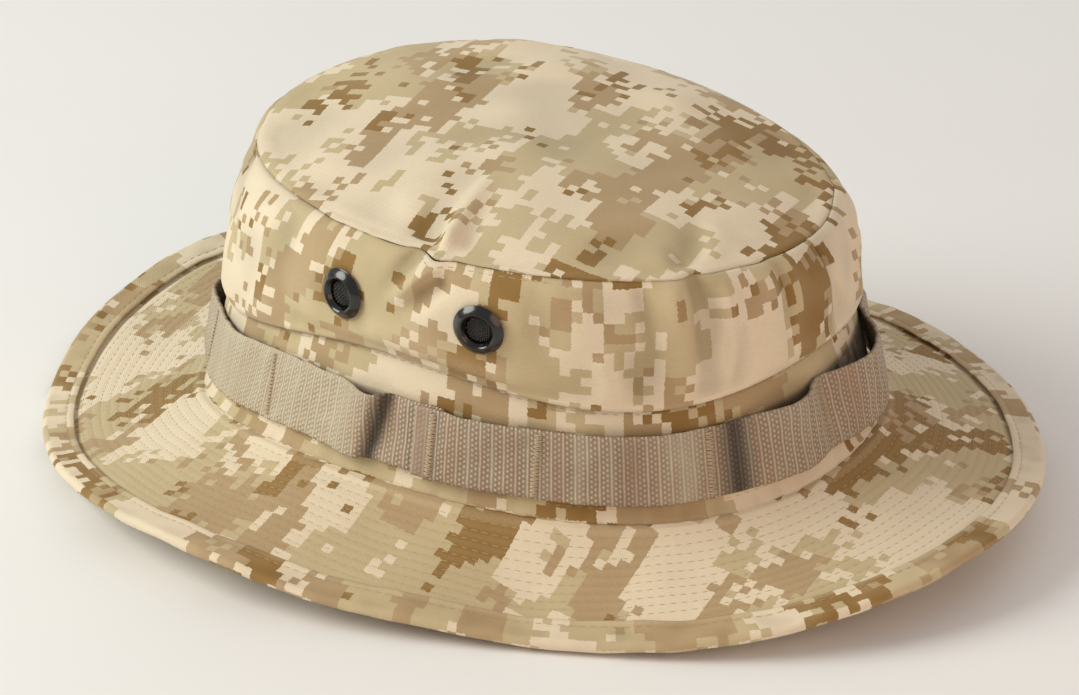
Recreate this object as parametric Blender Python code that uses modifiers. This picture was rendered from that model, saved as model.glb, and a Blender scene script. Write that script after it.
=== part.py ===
"""Boonie hat: a soft sun hat with an oval crown, a wavy stitched brim and a ring of webbing loops.

The hat sits on its brim. +X is the front of the hat, +Z is up, and the origin is on the surface
that the brim rests on, under the middle of the hat. Every cloth layer follows one of two shared
surfaces, the crown wall and the brim, at its own distance from it, so that layers never touch.
Lengths below are in millimetres and angles in degrees; mesh points are made in metres.
"""
import math

import bmesh
import bpy
from mathutils import Matrix, Vector

MM = 0.001

# Crown: an upright oval wall between the brim seam and the seam of the top panel
HEAD_HALF = (107.5, 84.0)
RIM_HALF = (88.6, 68.8)
RIM_CENTRE = (1.8, -1.6)
RIM_HEIGHT = 76.9
DOME_RISE = 10.0
DOME_POWER = 2.2
SHOULDER = 7.6
SHOULDER_WAVES = ((2, 1.6, 200.0),)
SHOULDER_POWER = 0.7
SHOULDER_CLOSING = 6.0
BAND_HEIGHT = 33.9

# Soft waves, as (waves round the hat, amplitude, angle of the first crest)
SEAM_WAVES = ((1, 5.4, -25.0), (2, 1.2, 118.0), (3, 3.2, 40.0))
RIM_RADIUS_WAVES = ((2, 1.3, 249.0), (3, 2.8, 153.0), (4, 1.0, 128.0))
RIM_HEIGHT_WAVES = ((1, 5.2, 147.0), (2, 4.0, 223.0))
BAND_WAVES = ((1, 1.2, -89.0), (2, 1.3, -153.0), (3, 0.6, 129.0), (4, 0.7, -37.0), (5, 1.0, -105.0))

# Brim: width and droop change round the hat, so that it rests on three low points
BRIM_WIDTH = 50.3
BRIM_WIDTH_WAVES = ((1, 1.2, 184.0), (2, 3.9, 30.0), (3, 0.9, -24.0), (4, 2.4, -81.0))
BRIM_DROOP = 12.0
BRIM_DROOP_WAVES = ((1, 4.8, -26.0), (2, 5.2, 181.0), (3, 1.6, 206.0), (4, 4.7, 94.0))
BRIM_HOLLOW = 2.5
BINDING_WIDTH = 10.0
BRIM_REACH = (0.012, 0.985)

# Layers
GAP = 0.35
CLOTH = 0.6
STIFFENER = 0.9
WEBBING_THICKNESS = 1.2
WEBBING_WIDTH = 21.0
WEBBING_FOOT = 6.5
SWEATBAND_HEIGHT = 32.0
SWEATBAND_DROP = 1.5
PANEL_OUT = 1.6
PANEL_HALF_SEAM = 0.12
BAND_TUCK = 3.0

# Webbing: tacks round the hat, and how far each loop after its tack stands off the band
TACK_ANGLES = (24.0, 51.0, 75.0, 98.0, 121.0, 147.0, 176.0, 208.0, 239.5, 274.5, 291.5, 321.0, 349.0)
LOOP_RISES = (2.5, 1.5, 1.0, 1.0, 1.5, 2.5, 3.0, 1.0, 0.5, 1.0, 0.6, 2.6, 8.8)
LOOP_FULLNESS = 1.7
LOOP_FLARE = 0.6
WEBBING_START = 271.5
WEBBING_OVERLAP = 5.5
OVERLAP_FADE = 9.0
PLEAT_ANGLE = 264.5
PLEAT_RISE = 2.6
PLEAT_HALF_WIDTH = 2.2
TACK_SIZE = (2.4, 19.0, 0.7)
TACK_BEVEL = 0.3

# Vents: black screened eyelets, two on each side, each at an angle and a share of the wall's height
VENTS = {"near_rear": (255.5, 0.755), "near_front": (282.4, 0.775),
         "far_rear": (104.5, 0.755), "far_front": (77.6, 0.775)}
VENT_HOLE_RADIUS = 5.1
VENT_FLANGE_RADIUS = 7.75
VENT_CREST = 1.9
EYELET_WALL = 0.5
CURVE_ROOM = 0.95
VENT_STEPS = 16
SCREEN_RADIUS = 3.75
SCREEN_THICKNESS = 0.5
WASHER_RADII = (4.95, 7.1)
WASHER_THICKNESS = 0.5

STEPS_ROUND = 48
WEBBING_STEPS = 120

COLLECTION = "boonie_hat"
COLOURS = {
    "camouflage_cloth": ((0.56, 0.43, 0.27), 0.92, 0.0),
    "nylon_webbing": ((0.32, 0.23, 0.15), 0.8, 0.0),
    "tack_thread": ((0.30, 0.21, 0.14), 0.75, 0.0),
    "cotton_sweatband": ((0.46, 0.37, 0.25), 0.95, 0.0),
    "stiffener": ((0.70, 0.66, 0.58), 0.95, 0.0),
    "black_paint": ((0.012, 0.012, 0.014), 0.3, 0.6),
    "black_screen": ((0.03, 0.03, 0.032), 0.55, 0.7),
}


def waves(theta, terms):
    """Sum of cosine waves round the hat at the angle theta."""
    return sum(size * math.cos(count * theta - math.radians(crest)) for count, size, crest in terms)


def seam_height(theta):
    """Height of the seam between the crown and the brim."""
    return waves(theta, SEAM_WAVES)


def rim_point(theta):
    """Point on the seam round the top panel."""
    swell = waves(theta, RIM_RADIUS_WAVES)
    return Vector((
        RIM_CENTRE[0] + (RIM_HALF[0] + swell) * math.cos(theta),
        RIM_CENTRE[1] + (RIM_HALF[1] + swell) * math.sin(theta),
        RIM_HEIGHT + waves(theta, RIM_HEIGHT_WAVES),
    ))


def wall_height(theta):
    """Height of the crown wall, from the brim seam to the top seam."""
    return rim_point(theta).z - seam_height(theta)


def band_fraction(theta):
    """How far up the wall the side panels begin."""
    return (BAND_HEIGHT + waves(theta, BAND_WAVES)) / wall_height(theta)


def wall_point(theta, fraction, outward=0.0, puffed=True):
    """Point on the crown wall: fraction 0 at the brim seam, 1 at the top seam.

    Above the band the side panels puff out to a soft shoulder; a layer behind them doesn't.
    """
    foot = Vector((HEAD_HALF[0] * math.cos(theta), HEAD_HALF[1] * math.sin(theta), seam_height(theta)))
    point = foot.lerp(rim_point(theta), fraction)
    swell = 0.0
    if puffed:
        start = band_fraction(theta)
        above = max(0.0, (fraction - start) / (1.0 - start))
        closing = 1.0 - min(1.0, above) ** SHOULDER_CLOSING
        swell = (SHOULDER + waves(theta, SHOULDER_WAVES)) * above ** SHOULDER_POWER * closing
    return point + Vector((math.cos(theta), math.sin(theta), 0.0)) * (swell + outward)


def wall_at_height(theta, height, outward=0.0):
    """Point on the crown wall at a height above the brim seam."""
    return wall_point(theta, height / wall_height(theta), outward)


def wall_frame(theta, fraction, outward=0.0):
    """Matrix whose Z points out of the wall and whose Y points up it."""
    step = 0.01
    here = wall_point(theta, fraction, outward)
    along = wall_point(theta + step, fraction, outward) - wall_point(theta - step, fraction, outward)
    up = wall_point(theta, fraction + step, outward) - wall_point(theta, fraction - step, outward)
    normal = along.cross(up).normalized()
    side = along.normalized()
    rotation = Matrix((side, normal.cross(side), normal)).transposed()
    return Matrix.Translation(here * MM) @ rotation.to_4x4()


def brim_point(theta, reach, lift=0.0):
    """Point on the brim's middle surface: reach 0 at the brim seam, 1 at the edge."""
    outward = Vector((math.cos(theta) / HEAD_HALF[0], math.sin(theta) / HEAD_HALF[1], 0.0)).normalized()
    width = BRIM_WIDTH + waves(theta, BRIM_WIDTH_WAVES)
    droop = math.radians(BRIM_DROOP + waves(theta, BRIM_DROOP_WAVES))
    foot = Vector((HEAD_HALF[0] * math.cos(theta), HEAD_HALF[1] * math.sin(theta), seam_height(theta)))
    drop = width * math.sin(droop) * reach + BRIM_HOLLOW * 4.0 * reach * (1.0 - reach)
    return foot + outward * (width * math.cos(droop) * reach) + Vector((0.0, 0.0, lift - drop))


def loop_rise(angle):
    """How far the webbing stands off between its two nearest tacks."""
    for index, start in enumerate(TACK_ANGLES):
        end = TACK_ANGLES[(index + 1) % len(TACK_ANGLES)]
        span = (end - start) % 360.0
        along = ((angle - start) % 360.0) / span
        if along <= 1.0:
            return LOOP_RISES[index] * math.sin(math.pi * along) ** LOOP_FULLNESS
    return 0.0


def material(name):
    """Principled material in the colour of a real material."""
    found = bpy.data.materials.get(name)
    if found:
        return found
    colour, roughness, metallic = COLOURS[name]
    made = bpy.data.materials.new(name)
    made.use_nodes = True
    shader = made.node_tree.nodes["Principled BSDF"]
    shader.inputs["Base Color"].default_value = (*colour, 1.0)
    shader.inputs["Roughness"].default_value = roughness
    shader.inputs["Metallic"].default_value = metallic
    return made


def add_object(name, mesh, slot, matrix=None):
    """Put a named, coloured mesh in the hat's collection, under the empty that carries it."""
    obj = bpy.data.objects.new(name, mesh)
    mesh.materials.append(material(slot))
    bpy.data.collections[COLLECTION].objects.link(obj)
    obj.parent = bpy.data.objects["hat_seat"]
    if matrix:
        obj.matrix_basis = matrix
    return obj


def sheet(name, slot, thickness, across, up, place, closed=True):
    """A cloth layer: a grid laid on a surface, given its thickness inwards.

    place(s, t) gives the outer face, with s running anticlockwise and t upwards or inwards.
    """
    bm = bmesh.new()
    bmesh.ops.create_grid(bm, x_segments=across, y_segments=up, size=0.5)
    for vert in bm.verts:
        vert.co = place(vert.co.x + 0.5, vert.co.y + 0.5) * MM
    if closed:
        bmesh.ops.remove_doubles(bm, verts=bm.verts, dist=1e-6)
    mesh = bpy.data.meshes.new(name)
    bm.to_mesh(mesh)
    bm.free()
    mesh.shade_smooth()
    obj = add_object(name, mesh, slot)
    solidify = obj.modifiers.new("cloth_thickness", "SOLIDIFY")
    solidify.thickness = thickness * MM
    solidify.offset = -1.0
    return obj


def wall_sheet(name, slot, thickness, rows, low, high, outward, span=(0.0, 360.0), steps=STEPS_ROUND):
    """A layer on the crown wall between two heights, given as functions of the angle."""
    def place(s, t):
        theta = math.radians(span[0] + (span[1] - span[0]) * s)
        fraction = low(theta) + (high(theta) - low(theta)) * t
        return wall_point(theta, fraction, outward, puffed=name.startswith("crown_side"))
    return sheet(name, slot, thickness, steps, rows, place, closed=span == (0.0, 360.0))


def fraction_of(height):
    """Wall fraction, as a function of the angle, of a height above the brim seam."""
    return lambda theta: height / wall_height(theta)


def make_crown_top():
    """Domed oval panel that closes the crown, its edge flush with the side panels."""
    rings = 5
    centre = Vector((*RIM_CENTRE, RIM_HEIGHT))
    bm = bmesh.new()
    bmesh.ops.create_circle(bm, cap_ends=True, cap_tris=True, segments=STEPS_ROUND, radius=1.0)
    spokes = [edge for edge in bm.edges if len(edge.link_faces) == 2]
    bmesh.ops.subdivide_edges(bm, edges=spokes, cuts=rings - 1)
    for vert in bm.verts:
        theta = math.atan2(vert.co.y, vert.co.x)
        reach = vert.co.length
        point = centre.lerp(rim_point(theta), reach)
        point.z += DOME_RISE * (1.0 - reach ** DOME_POWER)
        vert.co = point * MM
    mesh = bpy.data.meshes.new("crown_top")
    bm.to_mesh(mesh)
    bm.free()
    mesh.shade_smooth()
    obj = add_object("crown_top", mesh, "camouflage_cloth")
    solidify = obj.modifiers.new("cloth_thickness", "SOLIDIFY")
    solidify.thickness = CLOTH * MM
    solidify.offset = -1.0


def make_crown_sides():
    """Two side panels that meet in seams at the front and the back, above the band."""
    rows = 6
    room_under_top = CLOTH + GAP + 0.1
    spans = {"crown_side_far": (PANEL_HALF_SEAM, 180.0 - PANEL_HALF_SEAM),
             "crown_side_near": (180.0 + PANEL_HALF_SEAM, 360.0 - PANEL_HALF_SEAM)}
    for name, span in spans.items():
        wall_sheet(name, "camouflage_cloth", CLOTH, rows, band_fraction,
                   fraction_below_rim(room_under_top), PANEL_OUT, span, STEPS_ROUND // 2)


def fraction_below_rim(distance):
    """Wall fraction, as a function of the angle, of a distance below the top seam."""
    return lambda theta: 1.0 - distance / wall_height(theta)


def make_crown_band():
    """Lower band that carries the webbing, tucked behind the side panels at its top."""
    brim_top = STIFFENER / 2.0 + GAP + CLOTH
    foot = brim_top + 2.0 * GAP

    def top(theta):
        return band_fraction(theta) + BAND_TUCK / wall_height(theta)

    wall_sheet("crown_band", "camouflage_cloth", CLOTH, 2, fraction_of(foot), top, 0.0)


def make_sweatband():
    """Cotton band inside the head opening, sewn to the inner edge of the brim."""
    wall_sheet("sweatband", "cotton_sweatband", CLOTH, 2, fraction_of(-SWEATBAND_DROP),
               fraction_of(SWEATBAND_HEIGHT), -CLOTH - GAP)


def make_brim():
    """Two plies with a stiffener between them, as rings round the head opening."""
    rows = 4
    inner, outer = BRIM_REACH
    half = STIFFENER / 2.0
    tops = {"brim_upper": half + GAP + CLOTH, "brim_interlining": half, "brim_lower": -half - GAP}
    looks = {"brim_upper": ("camouflage_cloth", CLOTH), "brim_interlining": ("stiffener", STIFFENER),
             "brim_lower": ("camouflage_cloth", CLOTH)}
    for name, top in tops.items():
        slot, thickness = looks[name]

        def place(s, t, lift=top):
            return brim_point(math.radians(360.0 * s), outer + (inner - outer) * t, lift)

        sheet(name, slot, thickness, STEPS_ROUND, rows, place)


def make_binding():
    """Strip folded round the brim's edge: over the upper ply, round the edge, under the lower."""
    rows = 6
    half = STIFFENER / 2.0 + 2.0 * GAP + 2.0 * CLOTH

    def place(s, t):
        theta = math.radians(360.0 * s)
        width = BRIM_WIDTH + waves(theta, BRIM_WIDTH_WAVES)
        flat = BINDING_WIDTH - half
        length = 2.0 * flat + math.pi * half
        along = (1.0 - t) * length
        if along < flat:
            reach, lift = 1.0 - (flat - along) / width, half
        elif along > length - flat:
            reach, lift = 1.0 - (along - (length - flat)) / width, -half
        else:
            turn = (along - flat) / half
            reach, lift = 1.0 + half * math.sin(turn) / width, half * math.cos(turn)
        return brim_point(theta, reach, lift)

    obj = sheet("brim_binding", "camouflage_cloth", CLOTH, STEPS_ROUND, rows, place)
    obj.data.flip_normals()
    obj.modifiers["cloth_thickness"].offset = 1.0


def webbing_offset(angle, turned, up=0.5):
    """Distance from the wall surface to the webbing's inner face, turned degrees from its start.

    A loop stands off most at its top edge, where up is 1.
    """
    offset = CLOTH + GAP + loop_rise(angle) * (1.0 + LOOP_FLARE * (up - 0.5))
    if turned > 180.0:
        offset += PLEAT_RISE * math.exp(-(((angle - PLEAT_ANGLE) / PLEAT_HALF_WIDTH) ** 2))
    over = max(0.0, 1.0 - max(0.0, turned - WEBBING_OVERLAP) / OVERLAP_FADE)
    return offset + (WEBBING_THICKNESS + GAP) * over * over * (3.0 - 2.0 * over)


def make_webbing():
    """One length of webbing round the band; its end lies under its start."""
    turn = 360.0 + WEBBING_OVERLAP - 1.0

    def place(s, t):
        turned = turn * s
        angle = (WEBBING_START + turned) % 360.0
        height = WEBBING_FOOT + WEBBING_WIDTH * t
        outward = webbing_offset(angle, turned, t) + WEBBING_THICKNESS
        return wall_at_height(math.radians(angle), height, outward)

    sheet("foliage_webbing", "nylon_webbing", WEBBING_THICKNESS, WEBBING_STEPS, 1, place, closed=False)


def make_tacks():
    """Bar tacks: dense thread bars across the webbing that pin it to the band."""
    for number, angle in enumerate(TACK_ANGLES, start=1):
        theta = math.radians(angle)
        height = WEBBING_FOOT + WEBBING_WIDTH / 2.0
        fraction = height / wall_height(theta)
        turned = (angle - WEBBING_START) % 360.0
        stand = webbing_offset(angle, turned) + WEBBING_THICKNESS + GAP + TACK_SIZE[2] / 2.0
        name = f"bartack_{number:02d}"
        mesh = bpy.data.meshes.new(name)
        bm = bmesh.new()
        bmesh.ops.create_cube(bm, size=1.0)
        bmesh.ops.scale(bm, verts=bm.verts, vec=Vector(TACK_SIZE) * MM)
        bm.to_mesh(mesh)
        bm.free()
        obj = add_object(name, mesh, "tack_thread", wall_frame(theta, fraction, stand))
        bevel = obj.modifiers.new("rounded", "BEVEL")
        bevel.width = TACK_BEVEL * MM
        bevel.segments = 1


def turned_piece(name, slot, profile, matrix):
    """A ring turned about Z from a closed profile of (radius, height) points."""
    mesh = bpy.data.meshes.new(name)
    points = [(radius * MM, 0.0, height * MM) for radius, height in profile]
    edges = [(index, (index + 1) % len(points)) for index in range(len(points))]
    mesh.from_pydata(points, edges, [])
    obj = add_object(name, mesh, slot, matrix)
    screw = obj.modifiers.new("turned", "SCREW")
    screw.steps = VENT_STEPS
    screw.render_steps = VENT_STEPS
    screw.use_merge_vertices = True
    screw.merge_threshold = 1e-6
    screw.use_smooth_shade = True
    return obj


def eyelet_profile(inside):
    """Half section of an eyelet, from its rolled flange down its barrel to the curl under the washer."""
    flange = VENT_FLANGE_RADIUS
    crest = VENT_CREST
    barrel = VENT_HOLE_RADIUS - EYELET_WALL
    bore = barrel - EYELET_WALL
    curl = barrel + 1.1
    end = -inside - WASHER_THICKNESS - GAP
    dish = ((barrel + 0.9, crest - 0.4), (flange - 1.5, crest))
    roll = ((flange - 0.6, crest - 0.15), (flange, 1.0), (flange - 0.2, 0.4), (flange - 0.9, 0.0))
    tube = ((barrel, 0.0), (barrel, end + 0.1), (curl, end), (curl, end - 0.4), (bore, end - 0.4))
    mouth = ((bore, 1.1), (bore + 0.5, 1.3), (barrel + 0.3, 0.8))
    return dish + roll + tube + mouth


def make_vents():
    """Eyelet, screen and washer at each vent, and the hole through its side panel."""
    stand = GAP + 0.2
    inside = stand + CLOTH + GAP + CURVE_ROOM
    cutter_depth = 12.0
    washer = ((WASHER_RADII[1], 0.0), (WASHER_RADII[1], -WASHER_THICKNESS),
              (WASHER_RADII[0], -WASHER_THICKNESS), (WASHER_RADII[0], 0.0))
    for place, (angle, fraction) in VENTS.items():
        frame = wall_frame(math.radians(angle), fraction, PANEL_OUT)
        seat = frame @ Matrix.Translation((0.0, 0.0, stand * MM))
        turned_piece(f"vent_{place}_eyelet", "black_paint", eyelet_profile(inside), seat)
        under = seat @ Matrix.Translation((0.0, 0.0, -inside * MM))
        turned_piece(f"vent_{place}_washer", "black_paint", washer, under)
        make_disc(f"vent_{place}_screen", "black_screen", SCREEN_RADIUS, SCREEN_THICKNESS, seat)
        cutter = make_disc(f"hole_{place}", None, VENT_HOLE_RADIUS, cutter_depth, frame)
        side = bpy.data.objects["crown_side_near" if place.startswith("near") else "crown_side_far"]
        hole = side.modifiers.new(f"hole_{place}", "BOOLEAN")
        hole.object = cutter
        hole.operation = "DIFFERENCE"


def make_disc(name, slot, radius, thickness, matrix):
    """A round disc centred on a frame; one without a slot is a cutter."""
    mesh = bpy.data.meshes.new(name)
    bm = bmesh.new()
    bmesh.ops.create_cone(bm, cap_ends=True, segments=VENT_STEPS, radius1=radius * MM,
                          radius2=radius * MM, depth=thickness * MM)
    bm.to_mesh(mesh)
    bm.free()
    if slot:
        return add_object(name, mesh, slot, matrix)
    cutter = bpy.data.objects.new(name, mesh)
    bpy.data.collections["cutters"].objects.link(cutter)
    cutter.parent = bpy.data.objects["hat_seat"]
    cutter.matrix_basis = matrix
    cutter.hide_render = True
    cutter.display_type = "WIRE"
    return cutter


def seat_on_surface():
    """Move the empty so that the hat's box stands on Z = 0, centred on the origin."""
    bpy.context.view_layer.update()
    depsgraph = bpy.context.evaluated_depsgraph_get()
    corners = []
    for obj in bpy.data.collections[COLLECTION].objects:
        if obj.type == "MESH":
            shape = obj.evaluated_get(depsgraph)
            corners += [shape.matrix_world @ vert.co for vert in shape.data.vertices]
    low = [min(corner[axis] for corner in corners) for axis in range(3)]
    high = [max(corner[axis] for corner in corners) for axis in range(3)]
    seat = bpy.data.objects["hat_seat"]
    seat.location = (-(low[0] + high[0]) / 2.0, -(low[1] + high[1]) / 2.0, -low[2])
    bpy.context.view_layer.update()


def main():
    """Build the hat from an empty scene."""
    for obj in list(bpy.data.objects):
        bpy.data.objects.remove(obj)
    for name in (COLLECTION, "cutters"):
        bpy.context.scene.collection.children.link(bpy.data.collections.new(name))
    seat = bpy.data.objects.new("hat_seat", None)
    bpy.data.collections[COLLECTION].objects.link(seat)
    make_crown_top()
    make_crown_sides()
    make_crown_band()
    make_sweatband()
    make_brim()
    make_binding()
    make_webbing()
    make_tacks()
    make_vents()
    seat_on_surface()


main()
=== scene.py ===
"""Looks of the boonie hat: printed cloth, webbing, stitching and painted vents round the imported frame.

Lengths in the shape functions are in millimetres, as in the part's source; meshes are in metres.
Every cloth layer follows the crown wall or the brim at its own distance, so that layers stay apart.
"""
import math

import bpy
import numpy as np
from mathutils import Matrix, Vector


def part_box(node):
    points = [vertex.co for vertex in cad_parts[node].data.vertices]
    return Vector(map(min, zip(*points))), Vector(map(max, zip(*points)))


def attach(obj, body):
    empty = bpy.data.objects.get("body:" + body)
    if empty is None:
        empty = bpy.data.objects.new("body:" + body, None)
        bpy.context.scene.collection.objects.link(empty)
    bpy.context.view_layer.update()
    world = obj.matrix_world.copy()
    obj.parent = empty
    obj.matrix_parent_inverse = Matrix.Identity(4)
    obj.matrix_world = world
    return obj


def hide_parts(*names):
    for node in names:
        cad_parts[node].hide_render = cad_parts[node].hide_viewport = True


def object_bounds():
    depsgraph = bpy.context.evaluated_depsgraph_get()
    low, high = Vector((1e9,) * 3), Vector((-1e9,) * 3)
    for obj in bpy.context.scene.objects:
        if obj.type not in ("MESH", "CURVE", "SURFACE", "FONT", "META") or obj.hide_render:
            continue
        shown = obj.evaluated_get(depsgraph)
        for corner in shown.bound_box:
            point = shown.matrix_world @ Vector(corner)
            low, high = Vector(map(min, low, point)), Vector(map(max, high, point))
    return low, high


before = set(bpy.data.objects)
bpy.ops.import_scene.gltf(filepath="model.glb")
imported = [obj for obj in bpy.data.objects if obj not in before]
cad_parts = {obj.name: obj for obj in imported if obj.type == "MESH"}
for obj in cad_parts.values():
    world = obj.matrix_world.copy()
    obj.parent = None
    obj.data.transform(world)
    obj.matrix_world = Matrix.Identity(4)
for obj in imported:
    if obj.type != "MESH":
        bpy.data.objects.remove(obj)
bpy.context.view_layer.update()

MM = 0.001

# Crown and brim, with the same sizes as the frame
HEAD_HALF = (107.5, 84.0)
RIM_HALF = (88.6, 68.8)
RIM_CENTRE = (1.8, -1.6)
RIM_HEIGHT = 76.9
DOME_RISE = 10.0
DOME_POWER = 2.2
SHOULDER = 7.6
SHOULDER_WAVES = ((2, 1.6, 200.0),)
SHOULDER_POWER = 0.7
SHOULDER_CLOSING = 6.0
BAND_HEIGHT = 33.9
SEAM_WAVES = ((1, 5.4, -25.0), (2, 1.2, 118.0), (3, 3.2, 40.0))
RIM_RADIUS_WAVES = ((2, 1.3, 249.0), (3, 2.8, 153.0), (4, 1.0, 128.0))
RIM_HEIGHT_WAVES = ((1, 5.2, 147.0), (2, 4.0, 223.0))
BAND_WAVES = ((1, 1.2, -89.0), (2, 1.3, -153.0), (3, 0.6, 129.0), (4, 0.7, -37.0), (5, 1.0, -105.0))
BRIM_WIDTH = 50.3
BRIM_WIDTH_WAVES = ((1, 1.2, 184.0), (2, 3.9, 30.0), (3, 0.9, -24.0), (4, 2.4, -81.0))
BRIM_DROOP = 12.0
BRIM_DROOP_WAVES = ((1, 4.8, -26.0), (2, 5.2, 181.0), (3, 1.6, 206.0), (4, 4.7, 94.0))
BRIM_HOLLOW = 2.5
BINDING_WIDTH = 10.0
GAP = 0.35
CLOTH = 0.6
WEBBING_THICKNESS = 1.2
WEBBING_WIDTH = 21.0
WEBBING_FOOT = 6.5
SWEATBAND_HEIGHT = 32.0
SWEATBAND_DROP = 1.5
TACK_ANGLES = (24.0, 51.0, 75.0, 98.0, 121.0, 147.0, 176.0, 208.0, 239.5, 274.5, 291.5, 321.0, 349.0)
LOOP_RISES = (2.5, 1.5, 1.0, 1.0, 1.5, 2.5, 3.0, 1.0, 0.5, 1.0, 0.6, 3.2, 6.4)
LOOP_FULLNESS = 1.5
LOOP_LEANS = {11: 1.9, 12: 0.85}
LOOP_FLARE = 0.6
WEBBING_START = 271.5
WEBBING_OVERLAP = 5.5
OVERLAP_FADE = 9.0
PLEAT_ANGLE = 262.6
PLEAT_LEAN = 2.6
PLEAT_RISE = 3.4
PLEAT_SLOPES = (5.0, 1.5)
TACK_SIZE = (2.4, 19.0)
TACK_THREAD_RADIUS = 0.28
VENTS = {"near_rear": (255.5, 0.755), "near_front": (282.4, 0.775),
         "far_rear": (104.5, 0.755), "far_front": (77.6, 0.775)}
VENT_HOLE_RADIUS = 5.1
VENT_FLANGE_RADIUS = 7.75
SCREEN_RADIUS = 3.75
SCREEN_PITCH = 0.62
SCREEN_WIRE = 0.13
PANEL_OUT = 1.6
VENT_STAND = GAP + 0.2

# Brim layers, pressed closer together than in the frame
PLY_TOP = 1.1
FELT_HALF = 0.4
UNDER_TOP = -0.5
SEAM_RIDGE = 0.6
EDGE_INSET = 1.45
# The binding's cross-section: two flat legs joined by a half circle
BINDING_HALF = 1.75
BINDING_LEG = BINDING_WIDTH - BINDING_HALF
BINDING_LENGTH = 2.0 * BINDING_LEG + math.pi * BINDING_HALF

# Sewing
ROW_PITCH = 3.0
FIRST_ROW = 5.0
STITCH_PITCH = 3.1
STITCH_LENGTH = 2.4
HEM_INSET = 2.6
SHORTEST_ROW = 12
PUFF_HEIGHT = 0.15
PUFF_SINK = 0.07
THREAD_RADIUS = 0.11
THREAD_RINGS = 5
THREAD_SIDES = 5

# Printed pattern: size of its cells, and where each part is cut from the cloth, as a turn in degrees
# and a shift
CELL = 2.9
CUTS = {
    "side_panel_far": (1.5, (37.0, 410.0)),
    "side_panel_near": (1.5, (1755.0, 3871.0)),
    "top_panel": (180.0, (2752.0, 898.0)),
    "crown_band_cloth": (0.0, (206.0, 2145.0)),
    "brim_upper_cloth": (4.0, (1245.0, 479.0)),
    "brim_stiffener_felt": (4.0, (0.0, 0.0)),
    "brim_lower_cloth": (4.0, (902.0, 610.0)),
    "brim_binding_cloth": (0.0, (77.0, 505.0)),
}
# Printed tones, laid one over the other on the first: tone, seed, scale and stretch of the noise, block
# of cells that the coarse noise keeps to, share of the fine noise, share of single specks, threshold
PRINT = (
    (1, (3.1, 7.7, 1.3), 0.10, 0.62, (3.0, 3.0), 0.55, 0.08, 0.505),
    (2, (41.3, 19.9, 5.1), 0.135, 0.60, (2.0, 3.0), 0.60, 0.10, 0.565),
    (0, (11.9, 93.3, 2.9), 0.18, 0.70, (2.0, 2.0), 0.65, 0.14, 0.640),
    (3, (87.7, 63.1, 9.7), 0.12, 0.62, (2.0, 2.0), 0.62, 0.13, 0.612),
)


def degrees_from(degrees, angle):
    """Signed degrees from an angle, between -180 and 180."""
    return (degrees - angle + 180.0) % 360.0 - 180.0


def waves(theta, terms):
    """Sum of cosine waves round the hat at the angles theta."""
    return sum(size * np.cos(count * theta - math.radians(crest)) for count, size, crest in terms)


def hump(value, centre, width):
    """Smooth bump of height 1 at centre."""
    return np.exp(-(((value - centre) / width) ** 2))


def fade(distance, reach):
    """1 at no distance, falling off over about the reach."""
    return np.exp(-distance / reach)


def ramp(value, low, high):
    """Smooth step from 0 at low to 1 at high."""
    share = np.clip((value - low) / (high - low), 0.0, 1.0)
    return share * share * (3.0 - 2.0 * share)


def together(*parts):
    """Coordinates joined into points."""
    return np.stack(np.broadcast_arrays(*parts), axis=-1)


def unit(vectors):
    """Vectors brought to length 1."""
    return vectors / np.maximum(np.linalg.norm(vectors, axis=-1, keepdims=True), 1e-9)


def ripple(points, wavelength, seed, count=28):
    """Smooth random relief of about one unit at the points, the same in each run."""
    rng = np.random.default_rng(seed)
    total = np.zeros(points.shape[:-1])
    for _ in range(count):
        direction = rng.normal(size=3)
        direction /= np.linalg.norm(direction)
        radians_per_mm = 2.0 * math.pi / (wavelength * rng.uniform(0.7, 1.5))
        total += np.cos(points @ direction * radians_per_mm + rng.uniform(0.0, 2.0 * math.pi))
    return total * math.sqrt(2.0 / count)


def seam_height(theta):
    """Height of the seam between the crown and the brim."""
    return waves(theta, SEAM_WAVES)


def rim_point(theta):
    """Points on the seam round the top panel."""
    swell = waves(theta, RIM_RADIUS_WAVES)
    return together(RIM_CENTRE[0] + (RIM_HALF[0] + swell) * np.cos(theta),
                    RIM_CENTRE[1] + (RIM_HALF[1] + swell) * np.sin(theta),
                    RIM_HEIGHT + waves(theta, RIM_HEIGHT_WAVES))


def wall_height(theta):
    """Height of the crown wall at the angles theta."""
    return RIM_HEIGHT + waves(theta, RIM_HEIGHT_WAVES) - seam_height(theta)


def band_fraction(theta):
    """How far up the wall the side panels begin."""
    return (BAND_HEIGHT + waves(theta, BAND_WAVES)) / wall_height(theta)


def wall_point(theta, fraction, outward=0.0, puffed=True):
    """Points on the crown wall, as in the frame: fraction 0 at the brim seam, 1 at the top seam."""
    theta, fraction, outward = np.broadcast_arrays(theta, fraction, outward)
    foot = together(HEAD_HALF[0] * np.cos(theta), HEAD_HALF[1] * np.sin(theta), seam_height(theta))
    point = foot + (rim_point(theta) - foot) * fraction[..., None]
    swell = outward.astype(float)
    if puffed:
        start = band_fraction(theta)
        above = np.clip((fraction - start) / (1.0 - start), 0.0, 1.0)
        size = SHOULDER + waves(theta, SHOULDER_WAVES)
        swell = swell + size * above ** SHOULDER_POWER * (1.0 - above ** SHOULDER_CLOSING)
    return point + together(np.cos(theta), np.sin(theta), 0.0) * swell[..., None]


def straight_wall(theta, height, outward=0.0):
    """Points at a height above the brim seam, on the wall without the swell of the side panels."""
    return wall_point(theta, height / wall_height(theta), outward, puffed=False)


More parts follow.
